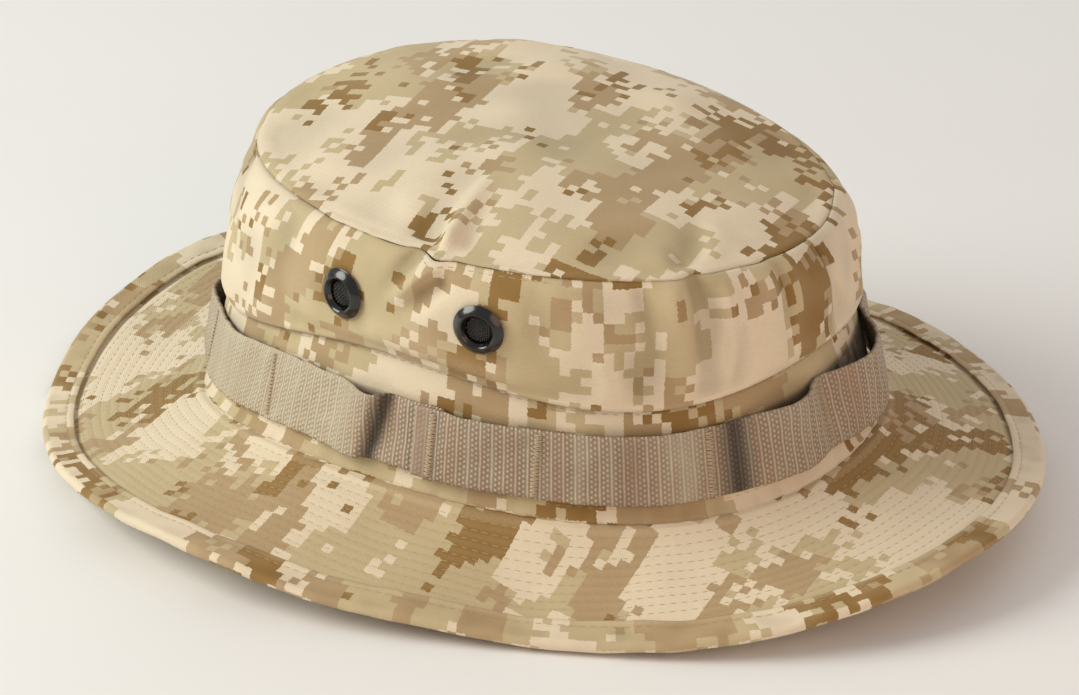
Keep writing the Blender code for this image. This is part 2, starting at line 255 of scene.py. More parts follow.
def wall_axes(theta, fraction, outward):
    """Place on the wall, the direction round it and the direction out of it."""
    step = 0.01
    here = Vector(wall_point(theta, fraction, outward))
    along = Vector(wall_point(theta + step, fraction, outward) - wall_point(theta - step, fraction, outward))
    up = Vector(wall_point(theta, fraction + step, outward) - wall_point(theta, fraction - step, outward))
    return here, along.normalized(), along.cross(up).normalized()


def wall_frame(theta, fraction, outward):
    """Matrix in metres whose Z points out of the wall and whose Y points up it."""
    here, side, normal = wall_axes(theta, fraction, outward)
    rotation = Matrix((side, normal.cross(side), normal)).transposed()
    return Matrix.Translation((here + seat) * MM) @ rotation.to_4x4()


def find_seat():
    """How far the frame moved the hat to stand it on the floor, read from a vent screen's place."""
    low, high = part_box("vent_near_rear_screen")
    angle, fraction = VENTS["near_rear"]
    here, _, normal = wall_axes(math.radians(angle), fraction, PANEL_OUT)
    return (low + high) / 2.0 / MM - (here + normal * VENT_STAND)


seat = find_seat()


def brim_width(theta):
    """Width of the brim from the crown seam to its edge."""
    return BRIM_WIDTH + waves(theta, BRIM_WIDTH_WAVES)


def edge_dip(theta):
    """How far the cloth dips just inside the bound edge: most at the back, the far side and the front."""
    return 0.15 + 1.0 * ramp(np.cos(theta - math.radians(118.0)), -0.55, 0.05)


def brim_point(theta, distance, lift=0.0, dipped=True):
    """Points on the brim at a distance from the crown seam."""
    theta, distance, lift = np.broadcast_arrays(theta, distance, lift)
    width = brim_width(theta)
    reach = distance / width
    outward = unit(together(np.cos(theta) / HEAD_HALF[0], np.sin(theta) / HEAD_HALF[1]))
    droop = np.radians(BRIM_DROOP + waves(theta, BRIM_DROOP_WAVES))
    drop = width * np.sin(droop) * reach + BRIM_HOLLOW * 4.0 * reach * (1.0 - reach)
    run = width * np.cos(droop) * reach
    if dipped:
        inside = width - BINDING_WIDTH - distance
        drop = drop + edge_dip(theta) * np.where(inside > 0.0, hump(inside, 0.0, 1.5), hump(inside, 0.0, 4.0))
    return together(HEAD_HALF[0] * np.cos(theta) + outward[..., 0] * run,
                    HEAD_HALF[1] * np.sin(theta) + outward[..., 1] * run,
                    seam_height(theta) + lift - drop)


def loop_rise(angle):
    """How far the webbing stands off between its two nearest tacks."""
    rise = np.zeros_like(angle)
    for index, start in enumerate(TACK_ANGLES):
        span = (TACK_ANGLES[(index + 1) % len(TACK_ANGLES)] - start) % 360.0
        along = ((angle - start) % 360.0) / span
        lean = LOOP_LEANS.get(index, 1.0)
        full = LOOP_RISES[index] * np.abs(np.sin(math.pi * along ** lean)) ** LOOP_FULLNESS
        rise = np.where(along <= 1.0, full, rise)
    return rise


def webbing_offset(angle, turned, up):
    """Distance from the wall to the webbing's inner face, turned degrees from its start."""
    offset = CLOTH + GAP + loop_rise(angle) * (1.0 + LOOP_FLARE * (up - 0.5))
    crest = PLEAT_ANGLE + PLEAT_LEAN * (up - 0.5)
    slope = np.where(angle < crest, PLEAT_SLOPES[0], PLEAT_SLOPES[1])
    pleat = PLEAT_RISE * (0.75 + 0.5 * up) * np.exp(-(np.abs((angle - crest) / slope) ** 2.4))
    over = 1.0 - ramp(turned, WEBBING_OVERLAP, WEBBING_OVERLAP + OVERLAP_FADE)
    return offset + np.where(turned > 180.0, pleat, 0.0) + (WEBBING_THICKNESS + GAP) * over


# ---------------------------------------------------------------- meshes

def mesh_object(name, points, faces, materials, uvs=None, shade_and_wear=None, slots=None):
    """Object from points in millimetres and arrays of quads or triangles; uvs are in the cloth's plane."""
    mesh = bpy.data.meshes.new(name)
    mesh.vertices.add(len(points))
    mesh.vertices.foreach_set("co", ((points + np.array(seat)) * MM).astype(np.float32).ravel())
    corners = np.concatenate([part.ravel() for part in faces])
    sizes = np.concatenate([np.full(len(part), part.shape[1]) for part in faces])
    mesh.loops.add(len(corners))
    mesh.loops.foreach_set("vertex_index", corners.astype(np.int32))
    mesh.polygons.add(len(sizes))
    mesh.polygons.foreach_set("loop_start", (np.cumsum(sizes) - sizes).astype(np.int32))
    mesh.polygons.foreach_set("use_smooth", np.ones(len(sizes), bool))
    for made in materials:
        mesh.materials.append(made)
    if slots is not None:
        mesh.polygons.foreach_set("material_index", slots.astype(np.int32))
    mesh.update(calc_edges=True)
    if uvs is not None:
        mesh.uv_layers.new(name="cloth_plane").data.foreach_set("uv", (uvs * MM).astype(np.float32).ravel())
        mesh.attributes.new("shade_and_wear", "FLOAT", "POINT").data.foreach_set("value", shade_and_wear.astype(np.float32))
    mesh.validate()
    obj = bpy.data.objects.new(name, mesh)
    bpy.context.scene.collection.objects.link(obj)
    return obj


def on_hat(obj, node):
    """Puts a piece on the hat in place of a node of the frame."""
    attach(obj, "root")
    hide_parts(node)


def surface_normals(points, closed):
    """Unit normals of a grid of points, on the side of u cross v."""
    if closed:
        along = np.roll(points, -1, axis=0) - np.roll(points, 1, axis=0)
    else:
        along = np.gradient(points, axis=0)
    return unit(np.cross(along, np.gradient(points, axis=1)))


def quads(grid):
    """Quads between neighbours in a grid of point numbers."""
    return together(grid[:-1, :-1], grid[1:, :-1], grid[1:, 1:], grid[:-1, 1:]).reshape(-1, 4)


def shell(name, points, uv, thickness, materials, shade_and_wear, closed=True, inner_shade_and_wear=None):
    """Closed cloth sheet from a grid of outer points, given its thickness inwards.

    The second material is for the inner face. A closed grid has its first column again only in uv.
    """
    across, up = points.shape[:2]
    inner = points - surface_normals(points, closed) * thickness
    below = across * up
    index = np.arange(below).reshape(across, up)
    columns = np.concatenate((index, index[:1])) if closed else index
    uv_index = np.arange(len(columns) * up).reshape(-1, up)
    faces = [quads(columns), quads(columns)[:, ::-1] + below]
    uv_faces = [quads(uv_index), quads(uv_index)[:, ::-1]]
    edges = [(np.s_[:, 0], 1), (np.s_[:, -1], -1)]
    if not closed:
        edges += [(np.s_[0], -1), (np.s_[-1], 1)]
    for edge, order in edges:
        line, uv_line = columns[edge], uv_index[edge]
        faces.append(together(line[:-1], line[:-1] + below, line[1:] + below, line[1:])[:, ::order])
        uv_faces.append(together(uv_line[:-1], uv_line[:-1], uv_line[1:], uv_line[1:])[:, ::order])
    slots = np.zeros(sum(len(part) for part in faces))
    slots[len(faces[0]):2 * len(faces[0])] = len(materials) - 1
    inner_shade_and_wear = shade_and_wear * 0.3 if inner_shade_and_wear is None else np.full((across, up), inner_shade_and_wear)
    return mesh_object(name, np.concatenate((points.reshape(-1, 3), inner.reshape(-1, 3))), faces, materials,
                       uv.reshape(-1, 2)[np.concatenate(uv_faces)],
                       np.concatenate((shade_and_wear.ravel(), inner_shade_and_wear.ravel())), slots)


def run_along(path):
    """Distance along a line of points to each of them."""
    return np.concatenate(([0.0], np.cumsum(np.linalg.norm(np.diff(path, axis=0), axis=1))))


def turns(count):
    """Angles round the hat, without and with the closing one."""
    full = np.radians(np.linspace(0.0, 360.0, count + 1))
    return full[:-1], full


def arc_length(theta):
    """Distance along the head oval to each angle, starting from the first."""
    steps = np.linspace(0.0, 2.0 * math.pi, 1441)
    speed = np.hypot(HEAD_HALF[0] * np.sin(steps), HEAD_HALF[1] * np.cos(steps))
    length = np.concatenate(([0.0], np.cumsum((speed[1:] + speed[:-1]) / 2.0 * np.diff(steps))))
    return np.interp(theta, steps, length)


def cut_from_cloth(name, uv):
    """A part's own plane carried to where it is cut from the cloth."""
    degrees, shift = CUTS[name]
    turn = math.radians(degrees)
    matrix = np.array(((math.cos(turn), -math.sin(turn)), (math.sin(turn), math.cos(turn))))
    return uv @ matrix.T + np.array(shift)


class Thread:
    """Collects stitches into one piece."""

    def __init__(self, name, made):
        self.name, self.made = name, made
        self.points, self.quads, self.triangles = [], [], []
        self.count = 0

    def row(self, path, normals, closed=True, pitch=STITCH_PITCH, length=STITCH_LENGTH,
            radius=THREAD_RADIUS, sunk=0.05):
        """Stitches along a line on the cloth: short arcs of thread that dip into it at each end.

        A stitch is a tube of five sides, and a quad and a triangle close each of its ends.
        """
        if closed:
            path = np.concatenate((path, path[:1]))
            normals = np.concatenate((normals, normals[:1]))
        run = run_along(path)
        number = max(1, int(round(run[-1] / pitch)))
        step = run[-1] / number
        share = np.linspace(0.0, 1.0, THREAD_RINGS)
        along = (np.arange(number)[:, None] + 0.5) * step + (share - 0.5) * length * step / pitch
        centre, out = (together(*(np.interp(along, run, column) for column in line.T))
                       for line in (path, normals))
        out = unit(out)
        side = np.cross(unit(np.gradient(centre, axis=1)), out)
        arch = np.sin(math.pi * share)
        centre = centre + out * ((arch ** 0.6) * radius * 1.1 - sunk - radius * 0.6 * (1.0 - arch))[:, None]
        girth = radius * (0.5 + 0.5 * arch ** 0.5)
        turn = np.arange(THREAD_SIDES) * 2.0 * math.pi / THREAD_SIDES
        ring = side[:, :, None] * np.cos(turn)[:, None] + out[:, :, None] * np.sin(turn)[:, None]
        self.points.append((centre[:, :, None] + ring * girth[:, None, None]).reshape(-1, 3))
        here = self.count + np.arange(number * THREAD_RINGS * THREAD_SIDES).reshape(
            number, THREAD_RINGS, THREAD_SIDES)
        after = np.roll(here, -1, axis=2)
        self.quads.append(together(here[:, :-1], here[:, 1:], after[:, 1:], after[:, :-1]).reshape(-1, 4))
        self.quads += [here[:, 0, :4], here[:, -1, 3::-1]]
        self.triangles += [here[:, 0][:, (0, 3, 4)], here[:, -1][:, (4, 3, 0)]]
        self.count += here.size

    def build(self):
        """The finished piece of stitching."""
        obj = mesh_object(self.name, np.concatenate(self.points),
                          (np.concatenate(self.quads), np.concatenate(self.triangles)), (self.made,))
        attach(obj, "root")
        return obj


# ---------------------------------------------------------------- materials

class Graph:
    """Short-hand for making a material's nodes."""

    def __init__(self, name, shader_values):
        self.material = bpy.data.materials.new(name)
        self.material.use_nodes = True
        self.tree = self.material.node_tree
        self.shader = self.tree.nodes["Principled BSDF"]
        for socket, value in shader_values.items():
            self.shader.inputs[socket].default_value = value

    def node(self, kind, links=(), **settings):
        """Node of a kind; links pairs an input with a node's output or a plain value."""
        made = self.tree.nodes.new(kind)
        for key, value in settings.items():
            setattr(made, key, value)
        for socket, value in links:
            if isinstance(value, bpy.types.NodeSocket):
                self.tree.links.new(value, made.inputs[socket])
            else:
                made.inputs[socket].default_value = value
        return made

    def math(self, operation, first, second=0.0, third=0.0):
        """Number from a Math node."""
        links = ((0, first), (1, second), (2, third))
        return self.node("ShaderNodeMath", links, operation=operation).outputs[0]

    def plus(self, first, second):
        """Sum of two numbers."""
        return self.math("ADD", first, second)

    def times(self, first, second):
        """Product of two numbers."""
        return self.math("MULTIPLY", first, second)

    def fit(self, value, gain, base):
        """A number times gain, plus base."""
        return self.math("MULTIPLY_ADD", value, gain, base)

    def vector(self, operation, first, second=(0.0, 0.0, 0.0)):
        """Vector from a Vector Math node."""
        made = self.node("ShaderNodeVectorMath", ((0, first), (1, second)), operation=operation)
        return made.outputs["Value"] if operation == "DOT_PRODUCT" else made.outputs["Vector"]

    def noise(self, vector, scale, detail=2.0, roughness=0.5):
        """Value of a noise texture."""
        links = (("Vector", vector), ("Scale", scale), ("Detail", detail), ("Roughness", roughness))
        return self.node("ShaderNodeTexNoise", links).outputs["Fac"]

    def wave(self, vector, turns_per_unit):
        """Sine along a direction of the vector."""
        return self.math("SINE", self.vector("DOT_PRODUCT", vector, turns_per_unit))

    def mix(self, share, first, second):
        """Colour between two colours."""
        links = ((0, share), (6, first), (7, second))
        return self.node("ShaderNodeMix", links, data_type="RGBA").outputs[2]

    def brighten(self, colour, share):
        """Colour times a number that varies over the surface."""
        links = ((0, colour), ("Scale", share))
        return self.node("ShaderNodeVectorMath", links, operation="SCALE").outputs["Vector"]

    def cloth_plane(self):
        """Place in the cloth's plane, in metres and in millimetres."""
        plane = self.node("ShaderNodeUVMap", uv_map="cloth_plane").outputs["UV"]
        return plane, self.vector("MULTIPLY", plane, (1.0 / MM, 1.0 / MM, 0.0))

    def shade_and_wear(self):
        """Darker part, mostly painted shade, below 0; lighter part, fading and some painted light, above 0.
        """
        value = self.node("ShaderNodeAttribute", attribute_name="shade_and_wear").outputs["Fac"]
        return self.math("MINIMUM", value, 0.0), self.math("MAXIMUM", value, 0.0)

    def place(self):
        """Place on the object, in metres."""
        return self.node("ShaderNodeTexCoord").outputs["Object"]

    def bump(self, height, strength, distance, under=None):
        """Normal from a height, over another normal if there is one."""
        links = [("Height", height), ("Strength", strength), ("Distance", distance)]
        if under is not None:
            links.append(("Normal", under))
        return self.node("ShaderNodeBump", links).outputs["Normal"]

    def finish(self, **sockets):
        """The material, with what varies over the surface joined to the shader."""
        for socket, value in sockets.items():
            self.tree.links.new(value, self.shader.inputs[socket.replace("_", " ").title()])
        return self.material


def printed_patches(graph, cells, seed, scale, stretch, block, share, jitter, threshold):
    """1 inside the patches of one tone, 0 outside."""
    def patchy(place):
        stretched = graph.vector("MULTIPLY", place, (1.0, stretch, 1.0))
        return graph.noise(graph.vector("ADD", stretched, seed), scale, 2.0, 0.55)

    small = graph.vector("FLOOR", cells)
    large = graph.vector("FLOOR", graph.vector("MULTIPLY", cells, (1.0 / block[0], 1.0 / block[1], 1.0)))
    large = graph.vector("MULTIPLY", large, (*block, 1.0))
    fine, coarse = patchy(small), patchy(large)
    speck = graph.node("ShaderNodeTexWhiteNoise", (("Vector", graph.vector("ADD", small, seed)),),
                       noise_dimensions="3D").outputs["Value"]
    blend = graph.plus(graph.times(fine, share), graph.times(coarse, 1.0 - share))
    blend = graph.plus(blend, graph.times(graph.plus(speck, -0.5), jitter))
    return graph.math("GREATER_THAN", blend, threshold)


def srgb(red, green, blue):
    """Linear colour from 0 to 255 display values."""
    def linear(value):
        value /= 255.0
        return value / 12.92 if value <= 0.04045 else ((value + 0.055) / 1.055) ** 2.4
    return (linear(red), linear(green), linear(blue), 1.0)


def camouflage(name, tones):
    """Printed cotton twill: four tones in square-edged patches, fading on folds, painted shade in creases."""
    graph = Graph(name, {"Roughness": 0.88, "Sheen Weight": 0.12, "Sheen Roughness": 0.5,
                         "Specular IOR Level": 0.25})
    plane, yarns = graph.cloth_plane()
    bleed = graph.node("ShaderNodeTexNoise", (("Vector", plane), ("Scale", 1300.0), ("Detail", 1.0)))
    bleed = graph.vector("MULTIPLY", graph.vector("SUBTRACT", bleed.outputs["Color"], (0.5, 0.5, 0.5)),
                         (0.9 * MM, 0.9 * MM, 0.0))
    per_metre = 1.0 / (CELL * MM)
    cells = graph.vector("MULTIPLY", graph.vector("ADD", plane, bleed), (per_metre, per_metre, 0.0))
    colour = tones[0]
    for tone, *rule in PRINT:
        colour = graph.mix(printed_patches(graph, cells, *rule), colour, tones[tone])
    slubs = graph.noise(graph.vector("MULTIPLY", yarns, (0.35, 2.4, 1.0)), 1.0, 2.0, 0.6)
    darker, lightened = graph.shade_and_wear()
    shade = graph.fit(graph.noise(plane, 26.0, 3.0, 0.6), 0.16, 0.92)
    shade = graph.fit(graph.plus(slubs, -0.5), 0.10, shade)
    # Painted shade: the attribute's darker part darkens creases, seams and cloth hidden behind other parts.
    colour = graph.brighten(colour, graph.fit(darker, 0.36, shade))
    lightened = graph.times(lightened, graph.fit(graph.noise(plane, 900.0, 2.0), 0.6, 0.1))
    colour = graph.mix(lightened, colour, srgb(226, 208, 176))
    twill, cross = graph.wave(yarns, (6.8, 6.8, 0.0)), graph.wave(yarns, (13.0, -4.0, 0.0))
    normal = graph.bump(graph.plus(twill, graph.times(cross, 0.4)), 0.2, 0.12 * MM)
    normal = graph.bump(graph.noise(plane, 120.0, 4.0, 0.6), 0.35, 0.9 * MM, normal)
    return graph.finish(base_color=colour, normal=normal, roughness=graph.fit(slubs, 0.14, 0.80))


def webbing_look():
    """Nylon webbing: a plain column of warp and two beaded ones in turn, uneven in colour, a little glossy.

    The first stretch along it, the free end turned under, is pressed flat and pinker.
    """
    column, beat_pitch, pressed_length = 1.15, 1.6, 5.2
    graph = Graph("nylon_webbing_woven", {"Roughness": 0.62, "Sheen Weight": 0.1, "Specular IOR Level": 0.4})
    plane, yarns = graph.cloth_plane()
    parts = graph.node("ShaderNodeSeparateXYZ", ((0, yarns),))
    along, across = parts.outputs[0], parts.outputs[1]
    turn = 2.0 * math.pi
    third = graph.math("MODULO", graph.math("FLOOR", graph.math("DIVIDE", along, column)), 3.0)
    plain = graph.math("LESS_THAN", third, 0.5)
    rib = graph.fit(graph.math("COSINE", graph.times(along, turn / column)), -0.5, 0.5)
    phase = graph.fit(across, turn / beat_pitch, graph.times(third, math.pi))
    beat = graph.fit(graph.math("COSINE", phase), 0.5, 0.5)
    beaded = graph.times(graph.math("SUBTRACT", 1.0, plain), beat)
    share = graph.plus(graph.times(plain, graph.fit(beat, 0.25, 0.6)), beaded)
    pressed = graph.math("LESS_THAN", along, pressed_length)
    knuckle = graph.times(graph.times(graph.math("POWER", rib, 0.8), share), graph.fit(pressed, -0.55, 1.0))
    fuzz = graph.noise(graph.vector("MULTIPLY", yarns, (1.0, 4.0, 1.0)), 1.5, 3.0, 0.6)
    lift = graph.fit(knuckle, 0.75, graph.times(fuzz, 0.3))
    colour = graph.mix(lift, srgb(122, 100, 81), srgb(231, 213, 187))
    dye = graph.noise(graph.vector("MULTIPLY", yarns, (0.13, 0.012, 0.0)), 1.0, 2.0, 0.6)
    colour = graph.mix(graph.fit(dye, 1.8, -0.86), colour, srgb(178, 140, 112))
    colour = graph.mix(graph.fit(dye, -1.8, 0.92), colour, srgb(196, 192, 168))
    colour = graph.mix(graph.times(pressed, 0.45), colour, srgb(186, 156, 134))
    # Darker part: painted shade by the pleat, front loop and inner face; lighter part: fading, some painted
    # light.
    darker, lightened = graph.shade_and_wear()
    colour = graph.mix(graph.times(lightened, 0.42), colour, srgb(204, 196, 170))
    shade = graph.fit(graph.noise(plane, 55.0, 3.0, 0.6), 0.22, 0.88)
    # Painted shade and painted light scale the colour here, together with the fading.
    shade = graph.fit(darker, 0.45, graph.fit(lightened, 0.12, shade))
    colour = graph.brighten(colour, graph.math("MAXIMUM", shade, 0.2))
    normal = graph.bump(fuzz, 0.3, 0.2 * MM, graph.bump(knuckle, 0.9, 0.45 * MM))
    return graph.finish(base_color=colour, normal=normal, roughness=graph.fit(fuzz, 0.25, 0.5))


def thread_look(name, tone, dark):
    """Spun thread, uneven in colour."""
    graph = Graph(name, {"Roughness": 0.7, "Sheen Weight": 0.15})
    twist = graph.noise(graph.place(), 900.0, 2.0, 0.6)
    patch = graph.noise(graph.place(), 60.0, 2.0, 0.5)
    colour = graph.mix(graph.fit(patch, 0.4, graph.times(twist, 0.6)), dark, tone)
    return graph.finish(base_color=colour, normal=graph.bump(twist, 0.5, 0.1 * MM),
                        roughness=graph.fit(twist, 0.2, 0.6))


def cotton_look(name, tone, dark):
    """Plain cotton tape or felt with a fine cross weave and light soiling."""
    graph = Graph(name, {"Roughness": 0.92, "Sheen Weight": 0.2})
    plane, yarns = graph.cloth_plane()
    weave = graph.plus(graph.wave(yarns, (6.0, 0.0, 0.0)), graph.wave(yarns, (3.5, 6.0, 0.0)))
    weave = graph.fit(weave, 0.25, 0.5)
    soil = graph.noise(plane, 30.0, 4.0, 0.6)
    colour = graph.mix(graph.fit(weave, 0.45, graph.times(soil, 0.5)), dark, tone)
    return graph.finish(base_color=colour, normal=graph.bump(weave, 0.5, 0.2 * MM),
                        roughness=graph.fit(soil, 0.15, 0.82))


def painted_look(name, base, rough, edge):
    """Black paint on brass: glossy, with fine dust and a little rubbing."""
    graph = Graph(name, {"Roughness": rough, "Coat Weight": 0.4, "Coat Roughness": 0.1})
    dust = graph.noise(graph.place(), 700.0, 4.0, 0.65)
    rubbed = graph.math("GREATER_THAN", graph.noise(graph.place(), 1600.0, 3.0, 0.6), 0.66)
    colour = graph.mix(graph.times(dust, 0.25), base, edge)
    colour = graph.mix(graph.times(rubbed, 0.5), colour, edge)
    return graph.finish(base_color=colour, normal=graph.bump(dust, 0.12, 0.1 * MM),
                        roughness=graph.fit(dust, 0.25, rough - 0.08))


TONES = (srgb(230, 215, 188), srgb(198, 181, 143), srgb(180, 155, 118), srgb(149, 117, 66))
BACK_TONES = (srgb(216, 203, 178), srgb(205, 190, 160), srgb(194, 175, 142), srgb(176, 150, 112))
cloth_face = camouflage("camouflage_print", TONES)
cloth_back = camouflage("camouflage_wrong_side", BACK_TONES)
cloth_looks = (cloth_face, cloth_back)
webbing_nylon = webbing_look()
seam_thread = thread_look("seam_thread", srgb(205, 187, 153), srgb(174, 154, 120))
tack_thread = thread_look("bartack_thread", srgb(208, 191, 162), srgb(162, 143, 116))
sweat_cotton = cotton_look("sweatband_cotton", srgb(206, 188, 152), srgb(170, 148, 112))
stiff_felt = cotton_look("brim_stiffener", srgb(226, 220, 204), srgb(196, 188, 168))
black_paint = painted_look("black_paint_coat", srgb(8, 8, 9), 0.17, srgb(34, 33, 32))
black_screen = painted_look("black_screen_wire", srgb(50, 49, 47), 0.55, srgb(84, 82, 79))


# ---------------------------------------------------------------- cloth pieces

# Folds in the side panels: angle and wall share at both ends, height, width
SIDE_FOLDS = (
    (273.5, 1.00, 267.0, 0.84, 3.5, 2.6),
    (268.4, 0.97, 264.0, 0.82, -2.0, 3.2),
    (274.6, 0.91, 268.5, 0.77, -2.5, 3.0),
    (258.0, 0.70, 272.0, 0.66, 1.1, 5.0),
    (205.0, 0.97, 203.0, 0.80, -1.2, 9.0),
    (187.0, 0.94, 208.0, 0.93, -2.2, 6.5),
    (173.0, 0.94, 150.0, 0.95, -2.0, 6.5),
    (264.0, 0.62, 296.0, 0.56, 1.9, 4.6),
    (244.0, 0.55, 276.0, 0.50, -0.8, 3.5),
    (321.0, 1.00, 322.0, 0.44, -2.9, 4.2),
    (315.5, 0.97, 317.5, 0.50, 1.4, 3.8),
    (327.0, 0.92, 325.8, 0.44, 1.4, 2.6),
    (329.5, 0.76, 326.5, 0.50, -0.9, 3.0),
    (302.6, 0.68, 304.5, 0.52, 1.5, 3.0),
    (307.5, 0.70, 309.0, 0.55, -1.1, 4.0),
    (338.0, 0.90, 334.0, 0.55, 0.9, 4.0),
    (309.5, 0.96, 311.5, 0.58, -1.6, 3.0),
    (343.0, 0.95, 341.0, 0.55, -1.5, 3.4),
    (3.6, 0.80, 8.6, 0.66, 1.4, 2.4),
    (0.0, 0.92, 2.5, 0.72, -0.9, 3.0),
    (228.0, 0.90, 232.0, 0.52, 0.9, 6.0),
    (236.0, 0.90, 240.0, 0.55, -1.0, 6.0),
    (291.0, 0.92, 294.0, 0.60, -0.8, 5.0),
    (20.0, 0.85, 14.0, 0.5, 1.2, 6.0),
    (60.0, 0.90, 66.0, 0.5, -1.2, 7.0),
    (88.0, 0.55, 98.0, 0.85, 1.0, 6.0),
    (130.0, 0.90, 126.0, 0.5, 1.4, 7.0),
    (138.0, 0.85, 133.0, 0.5, -1.3, 6.0),
    (160.0, 0.9, 165.0, 0.5, 1.0, 8.0),
)
# Folds in the top panel: both ends from the middle of the hat, height, width
TOP_FOLDS = (
    (7.0, -71.0, 3.0, -36.0, 2.9, 3.3),
    (-0.5, -71.0, -7.0, -44.0, -2.0, 5.0),
    (12.5, -70.0, 8.0, -50.0, -1.1, 4.0),
    (-14.0, -52.0, -2.0, -40.0, 0.9, 7.0),
    (70.0, -45.0, 62.0, -20.0, -1.7, 4.5),
    (76.0, -38.0, 66.0, -16.0, 1.1, 5.0),
    (48.0, -52.0, 60.0, -34.0, -0.9, 5.0),
    (-52.0, -36.0, -30.0, -48.0, 0.7, 7.0),
    (20.0, 40.0, 44.0, 30.0, 0.9, 8.0),
    (-40.0, 30.0, -20.0, 48.0, -0.8, 8.0),
)
# Where the seam round the top is pushed out or in: angle, distance, width
RIM_PUSHES = ((273.5, 2.0, 2.0), (268.6, -1.6, 2.4), (321.0, -1.7, 2.0), (316.0, 0.7, 2.4), (338.0, 0.6, 3.0),
              (247.0, 0.6, 4.0), (30.0, 0.7, 4.0), (95.0, -0.8, 4.0), (142.0, 0.8, 4.0), (190.0, -0.6, 4.0))
RIM_PUSH_REACH = 9.0
# Length of a degree round the crown, the radius that folds leave smooth round a vent, and half the gap
# between the side panels in degrees
MM_PER_DEGREE = 1.66
VENT_SMOOTH_RADIUS = 11.5
PANEL_HALF_SEAM = 0.03


def rim_push(theta):
    """How far folds push the seam round the top panel out of its oval."""
    degrees = np.degrees(theta)
    return sum(size * hump(degrees_from(degrees, angle), 0.0, width) for angle, size, width in RIM_PUSHES)


def fold(x, y, end, size, width):
    """Relief of one fold from (0, 0) to end, lower at its far end."""
    end = np.array(end)
    along = np.clip((x * end[0] + y * end[1]) / (end @ end), 0.0, 1.0)
    distance = np.hypot(x - along * end[0], y - along * end[1])
    return size * hump(distance, 0.0, width) * (1.0 - 0.8 * along * along)


def side_relief(theta, fraction, above, below, points):
    """Folds, puckers and seams of the side panels, smooth round the vents."""
    degrees = np.degrees(theta) % 360.0
    height = wall_height(theta)
    relief = 0.5 * ripple(points, 46.0, 5) + 0.3 * ripple(points, 17.0, 6)
    for a0, f0, a1, f1, size, width in SIDE_FOLDS:
        end = ((a1 - a0) * MM_PER_DEGREE, (f1 - f0) * RIM_HEIGHT)
        relief = relief + fold(degrees_from(degrees, a0) * MM_PER_DEGREE, (fraction - f0) * height, end,
                               size, width)
    pucker = ripple(points * np.array((1.0, 1.0, 0.15)), 6.0, 8)
    relief = relief + 0.16 * pucker * (fade(above, 5.0) + fade(below, 4.0))
    relief = relief * ramp(above, 0.0, 5.0) * ramp(below, 0.0, 4.0)
    for angle, share in VENTS.values():
        away = np.hypot(degrees_from(degrees, angle) * MM_PER_DEGREE * 0.95, (fraction - share) * height)
        relief = relief * (1.0 - np.exp(-(away / VENT_SMOOTH_RADIUS) ** 6))
    relief = relief + 0.28 * hump(above, 1.2, 1.1) + rim_push(theta) * hump(below, 0.0, RIM_PUSH_REACH)
    seam = np.minimum(np.abs(degrees_from(degrees, 0.0)), np.abs(degrees - 180.0)) * MM_PER_DEGREE
    return relief - 0.3 * hump(seam, 0.0, 0.9) + 0.12 * hump(seam, 2.4, 1.4)


def seam_depth(theta):
    """How sharply the seam round the top shows: least over the vents, where the cloth is pulled."""
    return 0.35 + 0.65 * ramp(np.abs(degrees_from(np.degrees(theta), 283.0)), 28.0, 50.0)


def side_grid(theta, fraction):
    """Outer points of a side panel, with their fading and their painted shade in creases and at seams."""
    height = wall_height(theta)
    below = (1.0 - fraction) * height
    above = (fraction - band_fraction(theta)) * height
    lower_tuck, upper_tuck, tuck_reach = 0.6, 2.6, 1.1
    tucked = PANEL_OUT - lower_tuck * fade(above, 1.0)
    tucked = tucked - (upper_tuck * seam_depth(theta) - 0.2) * hump(below, 0.0, tuck_reach)
    relief = side_relief(theta, fraction, above, below, wall_point(theta, fraction, tucked))
    # Painted shade in creases, under the panel's lower edge and along the top seam; lighter on crests and the
    # hem's roll.
    worn_and_shaded = np.clip(relief / 2.6, -0.6, 0.5) + 0.35 * hump(above, 0.9, 0.7) - 0.5 * fade(above, 0.35)
    return wall_point(theta, fraction, tucked + relief), worn_and_shaded - 0.6 * seam_depth(theta) * fade(below, 1.3)


def make_sides():
    """The two side panels, with the vents' holes cut through."""
    across, up = 340, 84
    top_seam, ease = 0.95, 0.93
    for side, start in (("far", 0.0), ("near", 180.0)):
        name = f"side_panel_{side}"
        theta = np.radians(np.linspace(PANEL_HALF_SEAM, 180.0 - PANEL_HALF_SEAM, across) + start)[:, None]
        low = band_fraction(theta)
        high = 1.0 - top_seam / wall_height(theta)
        fraction = low + (high - low) * np.linspace(0.0, 1.0, up)
        points, worn_and_shaded = side_grid(theta, fraction)
        uv = cut_from_cloth(name, together(arc_length(theta) * ease, fraction * wall_height(theta)))
        obj = shell(name, points, uv, CLOTH, cloth_looks, worn_and_shaded, closed=False)
        for place, (angle, share) in VENTS.items():
            if place.startswith(side):
                cut_hole(obj, wall_frame(math.radians(angle), share, PANEL_OUT))
        on_hat(obj, f"crown_side_{side}")


def cut_hole(obj, matrix):
    """Round hole through a panel."""
    bpy.ops.mesh.primitive_cylinder_add(vertices=48, radius=VENT_HOLE_RADIUS * MM, depth=12.0 * MM)
    cutter = bpy.context.object
    cutter.matrix_world = matrix
    bpy.context.view_layer.update()
    cut = obj.modifiers.new("hole", "BOOLEAN")
    cut.object = cutter
    cut.operation = "DIFFERENCE"
    cut.solver = "EXACT"
    bpy.context.view_layer.objects.active = obj
    bpy.ops.object.modifier_apply(modifier=cut.name)
    bpy.data.objects.remove(cutter)


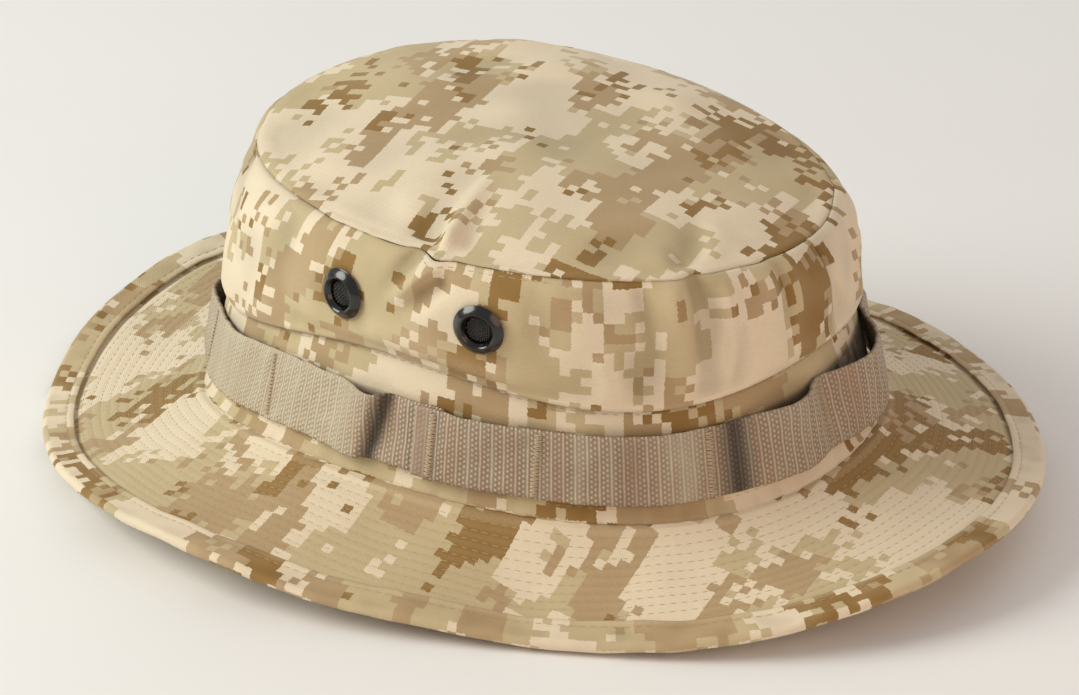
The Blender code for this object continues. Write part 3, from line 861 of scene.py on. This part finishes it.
def make_top():
    """Domed oval panel, rolled over the seam at its edge."""
    steps = 176
    side = np.linspace(-1.0, 1.0, steps)
    a, b = np.meshgrid(side, side, indexing="ij")
    x, y = a * np.sqrt(1.0 - b * b / 2.0), b * np.sqrt(1.0 - a * a / 2.0)
    theta = np.arctan2(y, x)
    rim = rim_point(theta)
    depth = seam_depth(theta)
    overhang = 1.5 + 2.1 * (1.0 - depth)
    radius = np.hypot(rim[..., 0] - RIM_CENTRE[0], rim[..., 1] - RIM_CENTRE[1])
    reach = np.hypot(x, y) * (1.0 + overhang / radius)
    inside = (1.0 - reach) * radius
    centre = np.array((*RIM_CENTRE, RIM_HEIGHT))
    points = centre + (rim - centre) * reach[..., None]
    points[..., 2] += DOME_RISE * (1.0 - np.minimum(reach, 1.0) ** DOME_POWER)
    relief = 0.7 * ripple(points, 70.0, 21) + 0.3 * ripple(points, 24.0, 22)
    for x0, y0, x1, y1, size, width in TOP_FOLDS:
        relief = relief + fold(points[..., 0] - x0, points[..., 1] - y0, (x1 - x0, y1 - y0), size, width)
    relief = relief * ramp(inside, 0.0, 6.0)
    relief = relief + 0.07 * ripple(points, 6.0, 23) * fade(np.maximum(inside, 0.0), 5.0)
    push = rim_push(theta) * hump(np.maximum(inside, 0.0), 0.0, RIM_PUSH_REACH)
    curl = (0.13 + 0.67 * depth) * hump(inside + overhang, 0.0, 0.8)
    lifted = relief + 0.5 * push * ramp(inside, -1.0, 3.0) - curl
    points += together(push * np.cos(theta), push * np.sin(theta), lifted)
    # Painted shade in creases and under the edge rolled over the seam; lighter on crests.
    worn_and_shaded = np.clip(relief / 2.6, -0.4, 0.5) - 0.5 * depth * fade(inside + overhang, 0.35)
    obj = shell("top_panel", points, cut_from_cloth("top_panel", points[..., :2]), CLOTH, cloth_looks, worn_and_shaded,
                closed=False)
    on_hat(obj, "crown_top")


def band_relief(height, points):
    """Ripples and the sewn foot of the band."""
    relief = 0.18 * ripple(points, 22.0, 31) * ramp(height, 3.0, 7.0)
    relief = relief + 0.14 * ripple(points * np.array((1.0, 1.0, 0.2)), 5.0, 32) * fade(height, 9.0)
    return relief * (1.0 - ramp(height, 28.0, 32.0))


def make_band():
    """Lower band: flared at the brim seam, tucked behind the side panels at its top."""
    across, up = 520, 40
    tuck, foot = 3.0, 0.75
    angles = turns(across)[1][:, None]
    panel_edge = band_fraction(angles) * wall_height(angles)
    height = foot + (panel_edge + tuck - foot) * np.linspace(0.0, 1.0, up)
    uv = cut_from_cloth("crown_band_cloth", together(arc_length(angles), height))
    angles, panel_edge, height = angles[:-1], panel_edge[:-1], height[:-1]
    relief = band_relief(height, straight_wall(angles, height))
    flare = 1.6 * fade(height - foot, 1.3)
    points = straight_wall(angles, height, relief + flare)
    webbing_top = WEBBING_FOOT + WEBBING_WIDTH
    # Painted shade on the band behind the webbing, under the side panels' edge and in its ripples' dips.
    shaded_behind_webbing = ramp(height, WEBBING_FOOT - 0.5, WEBBING_FOOT + 2.0)
    shaded_behind_webbing = shaded_behind_webbing * (1.0 - ramp(height, webbing_top - 3.0, webbing_top - 0.5))
    in_shade = fade(np.maximum(panel_edge - height, 0.0), 0.9)
    worn_and_shaded = np.clip(relief / 1.2, -0.5, 0.5) - 2.0 * shaded_behind_webbing - 0.9 * in_shade
    obj = shell("crown_band_cloth", points, uv, CLOTH, cloth_looks, worn_and_shaded)
    on_hat(obj, "crown_band")


def make_sweatband():
    """Cotton tape inside the head opening."""
    across, up = 400, 24
    theta, closing = turns(across)
    share = np.linspace(0.0, 1.0, up)
    height = -SWEATBAND_DROP + (SWEATBAND_HEIGHT + SWEATBAND_DROP) * share
    angles = theta[:, None]
    base = straight_wall(angles, height, -CLOTH - GAP)
    relief = -0.25 * (1.0 + ripple(base, 20.0, 41)) * np.sin(math.pi * share) - 0.12 * hump(height, 3.0, 0.6)
    relief = np.minimum(relief, 0.0)
    points = straight_wall(angles, height, relief - CLOTH - GAP)
    uv = together(arc_length(closing)[:, None], height)
    obj = shell("sweatband_tape", points, uv, CLOTH, (sweat_cotton,), relief)
    on_hat(obj, "sweatband")


def seam_ridge(distance):
    """Ridge of the brim where the crown's seam allowance lies under it."""
    return SEAM_RIDGE * hump(distance, 3.4, 1.2)


def quilting(theta, distance):
    """Soft puffs between the brim's rows of stitching."""
    last = brim_width(theta) - BINDING_WIDTH - 1.5
    puff = PUFF_HEIGHT * np.abs(np.sin(math.pi * (distance - FIRST_ROW) / ROW_PITCH)) ** 0.8 - PUFF_SINK
    return puff * ramp(distance, FIRST_ROW - 0.8, FIRST_ROW) * (1.0 - ramp(distance, last - 0.5, last + 0.8))


def brim_ripple(theta, distance):
    """Small unevenness that all the brim's layers share."""
    base = brim_point(theta, distance)
    return (0.45 * ripple(base, 60.0, 51) + 0.12 * ripple(base, 18.0, 52)) * ramp(distance, 2.0, 12.0)


def brim_grid(theta, distance, lift, relief):
    """Points of one brim layer."""
    points = brim_point(theta, distance, lift)
    points[..., 2] += relief + brim_ripple(theta, distance)
    return points


def make_brim():
    """Two quilted plies, each with its printed face outwards, and the stiffener between them."""
    across, inner, edge_gap = 540, 0.9, 0.3
    felt_look = (stiff_felt,)
    under_looks = (cloth_back, cloth_face)
    layers = (
        ("brim_upper_cloth", "brim_upper", "camouflage_cloth", "brim_lower_cloth",
         PLY_TOP, CLOTH, cloth_looks, 110),
        ("brim_stiffener_felt", "brim_interlining", "stiffener", "brim_binding_cloth",
         FELT_HALF, 2.0 * FELT_HALF, felt_look, 30),
        ("brim_lower_cloth", "brim_lower", "camouflage_cloth", "brim_binding_cloth",
         UNDER_TOP, CLOTH, under_looks, 110),
    )
    angles = turns(across)[0][:, None]
    for name, node, slot, rests_on, lift, thickness, looks, up in layers:
        distance = inner + (brim_width(angles) - EDGE_INSET - edge_gap - inner) * np.linspace(1.0, 0.0, up)
        flat = np.zeros_like(distance)
        relief = flat if looks is felt_look else quilting(angles, distance)
        if looks is cloth_looks:
            relief = relief + seam_ridge(distance)
        if looks is under_looks:
            thickness = thickness + relief[..., None]
        points = brim_grid(angles, distance, lift, relief if looks is cloth_looks else flat)
        uv = cut_from_cloth(name, np.concatenate((points, points[:1]))[..., :2])
        # Painted shade in the quilting's stitch grooves; lighter on the puffs and the seam ridge.
        obj = shell(name, points, uv, thickness, looks, np.clip(relief / 0.5, -0.45, 0.45))
        on_hat(obj, node)


def binding_grid(theta, along):
    """Points on the binding's outer face: over the upper ply, round the edge and back under."""
    rim = brim_width(theta) - EDGE_INSET
    past_edge = BINDING_LENGTH - along
    turn = np.clip((along - BINDING_LEG) / BINDING_HALF, 0.0, math.pi)
    edge = (along >= BINDING_LEG) & (past_edge >= BINDING_LEG)
    inside = np.minimum(along, past_edge)
    distance = rim + np.where(edge, BINDING_HALF * np.sin(turn), inside - BINDING_LEG)
    leg_lift = np.where(along < BINDING_LEG, BINDING_HALF, -BINDING_HALF)
    lift = np.where(edge, BINDING_HALF * np.cos(turn), leg_lift)
    points = brim_point(theta, distance, lift, dipped=False)
    rolled = 0.25 * np.where(lift > 0.0, 1.0, -1.0) * hump(inside, 0.0, 1.0)
    points[..., 2] += brim_ripple(theta, np.minimum(distance, rim)) - rolled
    return points, lift


def make_binding():
    """Cloth strip folded round the brim's edge, its inner edge rolled under."""
    across, up, edge_to_head = 560, 48, 1.45
    theta, closing = turns(across)
    angles = theta[:, None]
    along = np.linspace(1.0, 0.0, up) * BINDING_LENGTH
    points, lift = binding_grid(angles, along)
    inside = np.minimum(along, BINDING_LENGTH - along)
    relief = 0.22 * hump(inside, 1.0, 0.9) + 0.10 * ripple(points, 9.0, 61) - 0.10 * hump(inside, 2.6, 0.5)
    relief = relief * (1.0 - 0.6 * hump(along, BINDING_LENGTH / 2.0, BINDING_HALF * 1.2))
    points[..., 2] += np.where(lift >= 0.0, 1.0, -0.6) * relief
    # Painted shade in the stitch groove; the rolled inner edge lighter, partly abrasion and partly painted
    # highlight; the brim's outer edge abraded lighter.
    worn_and_shaded = np.clip(relief / 0.6, -0.5, 0.5) + 0.2 * hump(inside, 0.5, 0.7)
    worn_and_shaded = worn_and_shaded + 0.3 * hump(along, BINDING_LENGTH / 2.0, 1.2) * (0.6 + 0.4 * ripple(points, 9.0, 62))
    uv = cut_from_cloth("brim_binding_cloth", together(arc_length(closing)[:, None] * edge_to_head, along))
    obj = shell("brim_binding_cloth", points, uv, CLOTH, cloth_looks, worn_and_shaded)
    on_hat(obj, "brim_binding")


def webbing_shade(degrees, turned, up):
    """Webbing lighter at the rear (fading and painted light), painted shade behind the pleat and front tack.
    """
    whole = turned > 180.0
    # Lighter on the rear stretch, which faces the key lamp: partly fading, partly painted light.
    lightened = ramp(degrees, 190.0, 215.0) * (1.0 - ramp(degrees, 255.0, 275.0)) * whole
    # Painted shade on the pleat's flank that turns away from the light.
    behind_pleat = -2.4 * hump(degrees, PLEAT_ANGLE + PLEAT_LEAN * (up - 0.5) + 2.1, 1.45) * whole
    # Uneven colour near the front; then painted shade in the hollow where the strip bends in after the front
    # tack.
    bend = 0.5 * hump(degrees, 315.5, 3.6) - 0.25 * hump(degrees, 306.0, 3.5)
    bend = bend - 1.8 * hump(degrees, 326.0, 3.0)
    end = 0.8 * fade(turned, 0.25) - 0.25 * (1.0 - ramp(turned, 4.0, 5.5))
    return lightened + behind_pleat + bend + end


def make_webbing():
    """One length of webbing round the band, with slightly rounded and uneven selvedges."""
    across, up = 1100, 16
    turned = np.linspace(0.0, 360.0 + WEBBING_OVERLAP - 1.0, across)[:, None]
    even = np.linspace(0.0, 1.0, up)
    rows = ((1.0 - np.cos(math.pi * even)) / 2.0 + even) / 2.0
    degrees = (WEBBING_START + turned) % 360.0
    theta = np.radians(degrees)
    height = WEBBING_FOOT + WEBBING_WIDTH * rows
    outward = webbing_offset(degrees, turned, rows) + WEBBING_THICKNESS
    base = straight_wall(theta, height, outward)
    edge = np.minimum(rows, 1.0 - rows) * WEBBING_WIDTH
    relief = -0.3 * fade(edge, 0.5) + 0.16 * ripple(base, 14.0, 71) + 0.10 * ripple(base, 5.0, 72)
    from_tack = np.min([np.abs(degrees_from(degrees, angle)) for angle in TACK_ANGLES], axis=0)
    relief = relief * ramp(from_tack, 0.4, 2.0)
    points = straight_wall(theta, height, outward + relief)
    uv = together(run_along(points[:, up // 2])[:, None], rows * WEBBING_WIDTH)
    shade_and_wear = 0.3 * fade(edge, 0.7) + webbing_shade(degrees, turned, rows)
    # The inner face is darkened all over: painted shade on the loops' inner faces.
    obj = shell("foliage_loops_webbing", points, uv, WEBBING_THICKNESS, (webbing_nylon,), shade_and_wear, closed=False,
                inner_shade_and_wear=-1.3)
    on_hat(obj, "foliage_webbing")


def make_tacks():
    """Bar tacks: dense zigzag thread across the webbing."""
    bars, slope, unevenness, raised = 34, 0.16, (0.08, 0.12), 0.12
    for number, angle in enumerate(TACK_ANGLES, start=1):
        theta = math.radians(angle)
        fraction = (WEBBING_FOOT + WEBBING_WIDTH / 2.0) / float(wall_height(theta))
        turned = (angle - WEBBING_START) % 360.0
        stand = float(webbing_offset(np.array(angle), np.array(turned), 0.5)) + WEBBING_THICKNESS
        matrix = wall_frame(theta, fraction, stand + raised)
        out = np.array(matrix.to_3x3() @ Vector((0.0, 0.0, 1.0)))
        thread = Thread(f"bartack_{number:02d}_thread", tack_thread)
        rng = np.random.default_rng(900 + number)
        for bar in range(bars):
            y = ((bar + 0.5) / bars - 0.5) * TACK_SIZE[1] + rng.uniform(-unevenness[0], unevenness[0])
            slant = -slope if bar % 2 == 0 else slope
            reach = TACK_SIZE[0] / 2.0 + rng.uniform(-unevenness[1], unevenness[1])
            local = [Vector((x * reach, y + slant * x, 0.0)) for x in (-1.0, -0.5, 0.0, 0.5, 1.0)]
            path = np.array([(matrix @ (point * MM)) / MM - seat for point in local])
            thread.row(path, np.tile(out, (len(path), 1)), closed=False, pitch=2.0 * reach,
                       length=2.0 * reach, radius=TACK_THREAD_RADIUS, sunk=0.0)
        obj = thread.build()
        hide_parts(f"bartack_{number:02d}")


# ---------------------------------------------------------------- stitching

def wall_line(theta, fraction_of, grid):
    """Line on a wall layer, and its normals, from that layer's own grid function."""
    step = 0.6
    middle = grid(theta, fraction_of(theta))
    higher = grid(theta, fraction_of(theta) + step / wall_height(theta))
    along = np.roll(middle, -1, axis=0) - np.roll(middle, 1, axis=0)
    return middle, unit(np.cross(along, higher - middle))


def make_stitching():
    """Every row of topstitching, in one piece for each part of the hat."""
    theta, _ = turns(1440)
    vents_middle, vents_reach = 280.0, 14.0
    below_top, below_panel, above_brim = 1.9, 1.3, 4.6

    def side(angles, fraction):
        return side_grid(angles, fraction)[0]

    def band(angles, fraction):
        base = wall_point(angles, fraction, 0.0, puffed=False)
        relief = band_relief(fraction * wall_height(angles), base)
        return wall_point(angles, fraction, relief, puffed=False)

    whole = np.ones(len(theta), bool)
    over_vents = np.abs(np.degrees(theta) - vents_middle) < vents_reach
    crown = Thread("crown_topstitching", seam_thread)
    for fraction_of, grid, kept in ((lambda t: 1.0 - below_top / wall_height(t), side, over_vents),
                                  (lambda t: band_fraction(t) - below_panel / wall_height(t), band, whole),
                                  (lambda t: above_brim / wall_height(t), band, whole)):
        sew(crown, *wall_line(theta, fraction_of, grid), kept)
    crown.build()

    up = np.tile((0.0, 0.0, 1.0), (len(theta), 1))
    top = Thread("brim_topstitching", seam_thread)
    bottom = Thread("brim_underside_stitching", seam_thread)
    for row in range(int((BRIM_WIDTH - BINDING_WIDTH - FIRST_ROW) / ROW_PITCH) + 3):
        distance = FIRST_ROW + row * ROW_PITCH + 0.0 * theta
        kept = distance < brim_width(theta) - BINDING_WIDTH - 1.6
        above = quilting(theta, distance) + seam_ridge(distance)
        sew(top, brim_grid(theta, distance, PLY_TOP, above), up, kept)
        under = brim_grid(theta, distance, UNDER_TOP - CLOTH, -quilting(theta, distance))
        sew(bottom, under, -up, kept)
    top.build()
    bottom.build()

    hem = Thread("binding_topstitching", seam_thread)
    base, _ = binding_grid(theta, HEM_INSET)
    base[..., 2] += 0.10 * ripple(base, 9.0, 61) - 0.06
    hem.row(base, up)
    hem.build()


def sew(thread, points, normals, kept):
    """Stitches along the stretches of a closed line that are kept, leaving out very short ones."""
    if kept.all():
        thread.row(points, normals)
        return
    order = np.roll(np.arange(len(kept)), -int(np.argmax(~kept)))
    edges = np.flatnonzero(np.diff(np.concatenate(([0], kept[order].astype(int), [0]))))
    for start, end in zip(edges[::2], edges[1::2]):
        if end - start > SHORTEST_ROW:
            picked = order[start:end]
            thread.row(points[picked], normals[picked], closed=False)


# ---------------------------------------------------------------- vents

def lathe(profile, steps):
    """Points and quads of a ring turned about Z from a closed profile of (radius, height) points."""
    turn = np.arange(steps)[:, None] * 2.0 * math.pi / steps
    radius, height = np.array(profile).T
    points = together(np.cos(turn) * radius, np.sin(turn) * radius, height)
    index = np.arange(steps * len(radius)).reshape(steps, -1)
    return points.reshape(-1, 3), quads(np.pad(index, ((0, 1), (0, 1)), mode="wrap"))[:, ::-1]


def rounded(profile, radius):
    """A closed profile with its corners rounded."""
    points = [np.array(point, float) for point in profile]
    out = []
    for before, here, after in zip(points[-1:] + points[:-1], points, points[1:] + points[:1]):
        back, ahead = before - here, after - here
        reach = min(radius, 0.45 * np.linalg.norm(back), 0.45 * np.linalg.norm(ahead))
        start = here + back / np.linalg.norm(back) * reach
        end = here + ahead / np.linalg.norm(ahead) * reach
        out += [start, (start + 2.0 * here + end) / 4.0, end]
    return out


def screen_wires():
    """Points and quads of a woven wire disc, rounded at the middle."""
    steps, sides = 40, 5
    shortest, bulge = 0.8, 0.35
    points, faces = [], []
    turn = np.arange(sides) * 2.0 * math.pi / sides
    ring = together(0.0, np.cos(turn), np.sin(turn)) * SCREEN_WIRE
    last = math.floor(SCREEN_RADIUS / SCREEN_PITCH)
    for crossing, order in ((0, -1), (1, 1)):
        for line in range(-last, last + 1):
            offset = line * SCREEN_PITCH
            reach = math.sqrt(SCREEN_RADIUS ** 2 - offset ** 2)
            if reach < shortest:
                continue
            run = np.linspace(-reach, reach, steps)
            level = SCREEN_WIRE * np.cos(math.pi * (run / SCREEN_PITCH + (line + crossing) % 2))
            level = level + bulge * (1.0 - (run * run + offset * offset) / SCREEN_RADIUS ** 2)
            tube = together(run, offset, level)[:, None] + ring
            index = len(points) * steps * sides + np.arange(steps * sides).reshape(steps, sides)
            faces.append(quads(np.pad(index, ((0, 0), (0, 1)), mode="wrap"))[:, ::order])
            faces.append(np.array((index[0, :4], index[-1, 3::-1]))[:, ::order])
            points.append((tube[..., (1, 0, 2)] if crossing else tube).reshape(-1, 3))
    return np.concatenate(points), np.concatenate(faces)


def make_vents():
    """Eyelets with bevelled rims, woven screens and washers."""
    washer_thickness, bevel_radius = 0.5, 5.6
    back = VENT_STAND + CLOTH + GAP + 0.95
    flange, barrel = VENT_FLANGE_RADIUS, VENT_HOLE_RADIUS - 0.5
    bore = barrel - 0.5
    clench = barrel + 1.1
    end = -back - washer_thickness - GAP
    lean = np.radians(np.linspace(24.0, 52.0, 8))
    bevel = zip(flange - 0.25 + bevel_radius * (np.sin(lean) - np.sin(lean[-1])),
                0.45 + bevel_radius * (np.cos(lean) - np.cos(lean[-1])))
    eyelet = ((bore + 0.75, 1.75), *bevel, (flange, 0.25), (flange - 0.3, 0.0), (barrel, 0.0),
              (barrel, end + 0.1), (clench, end), (clench, end - 0.4), (bore, end - 0.4), (bore, 0.6),
              (bore + 0.35, 1.1))
    washer = ((7.1, 0.0), (7.1, -washer_thickness), (4.95, -washer_thickness), (4.95, 0.0))
    pieces = (
        ("eyelet", lathe(rounded(eyelet, 0.15), 72), 0.0, black_paint, "black_paint"),
        ("washer", lathe(rounded(washer, 0.12), 64), -back * MM, black_paint, "black_paint"),
        ("screen", screen_wires(), 0.0, black_screen, "black_screen"),
    )
    for place, (angle, fraction) in VENTS.items():
        on_wall = wall_frame(math.radians(angle), fraction, PANEL_OUT)
        on_wall = on_wall @ Matrix.Translation((0.0, 0.0, VENT_STAND * MM))
        for kind, (points, faces), height, made, slot in pieces:
            matrix = on_wall @ Matrix.Translation((0.0, 0.0, height))
            turned = points @ np.array(matrix.to_3x3()).T
            carried = turned + np.array(matrix.translation) / MM - np.array(seat)
            obj = mesh_object(f"{kind}_{place}", carried, (faces,), (made,))
            on_hat(obj, f"vent_{place}_{kind}")


# ---------------------------------------------------------------- scene

def aimed(name, data, place, direction):
    """Lamp or camera at a place, looking in a direction."""
    obj = bpy.data.objects.new(name, data)
    bpy.context.scene.collection.objects.link(obj)
    obj.location = place
    obj.rotation_mode = "QUATERNION"
    obj.rotation_quaternion = direction.to_track_quat("-Z", "Y")
    return obj


def make_stage():
    """Pale floor, white surroundings and three soft lights."""
    low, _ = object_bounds()
    floor_gap = 0.0002
    bpy.ops.mesh.primitive_plane_add(size=6.0, location=(0.0, 0.0, min(low.z, 0.0) - floor_gap))
    floor = bpy.context.object
    floor.name = "studio_floor"
    graph = Graph("studio_floor_matt", {"Roughness": 0.9})
    grain = graph.noise(graph.place(), 8.0, 2.0)
    pale = graph.mix(grain, (0.90, 0.90, 0.90, 1.0), (0.93, 0.93, 0.93, 1.0))
    floor.data.materials.append(graph.finish(base_color=pale))
    world = bpy.data.worlds.new("studio")
    bpy.context.scene.world = world
    world.use_nodes = True
    background = world.node_tree.nodes["Background"]
    background.inputs["Color"].default_value = (1.0, 0.985, 0.96, 1.0)
    background.inputs["Strength"].default_value = 0.42
    lit_point = Vector((0.0, 0.0, 0.05))
    for name, place, size, power, tint in (
            ("key", (-1.05, -0.72, 0.92), 1.0, 17.0, (0.97, 0.98, 0.89)),
            ("fill", (1.10, -0.70, 0.60), 1.1, 4.5, (1.0, 0.58, 0.36)),
            ("back", (0.15, 1.15, 0.95), 1.2, 2.0, (1.0, 0.95, 0.90))):
        data = bpy.data.lights.new(name, "AREA")
        data.shape = "DISK"
        data.size = size
        data.energy = power
        data.color = tint
        aimed(name, data, place, lit_point - Vector(place))
    bpy.context.scene.view_settings.view_transform = "Standard"


def make_camera():
    """Camera at the front left of the hat, looking a little down."""
    azimuth, elevation = math.radians(27.14), math.radians(26.78)
    distance, raised, to_right = 1.087, 0.0111, 0.00043
    back = Vector((math.sin(azimuth) * math.cos(elevation), -math.cos(azimuth) * math.cos(elevation),
                   math.sin(elevation)))
    right = Vector((math.cos(azimuth), math.sin(azimuth), 0.0))
    data = bpy.data.cameras.new("camera")
    data.lens = 117.5
    data.sensor_width = 36.0
    data.clip_start = 0.05
    data.clip_end = 20.0
    aim = seat * MM + back.cross(right) * raised + right * to_right
    bpy.context.scene.camera = aimed("camera", data, aim + back * distance, -back)


make_camera()
make_brim()
make_binding()
make_band()
make_sides()
make_top()
make_sweatband()
make_webbing()
make_tacks()
make_stitching()
make_vents()
make_stage()
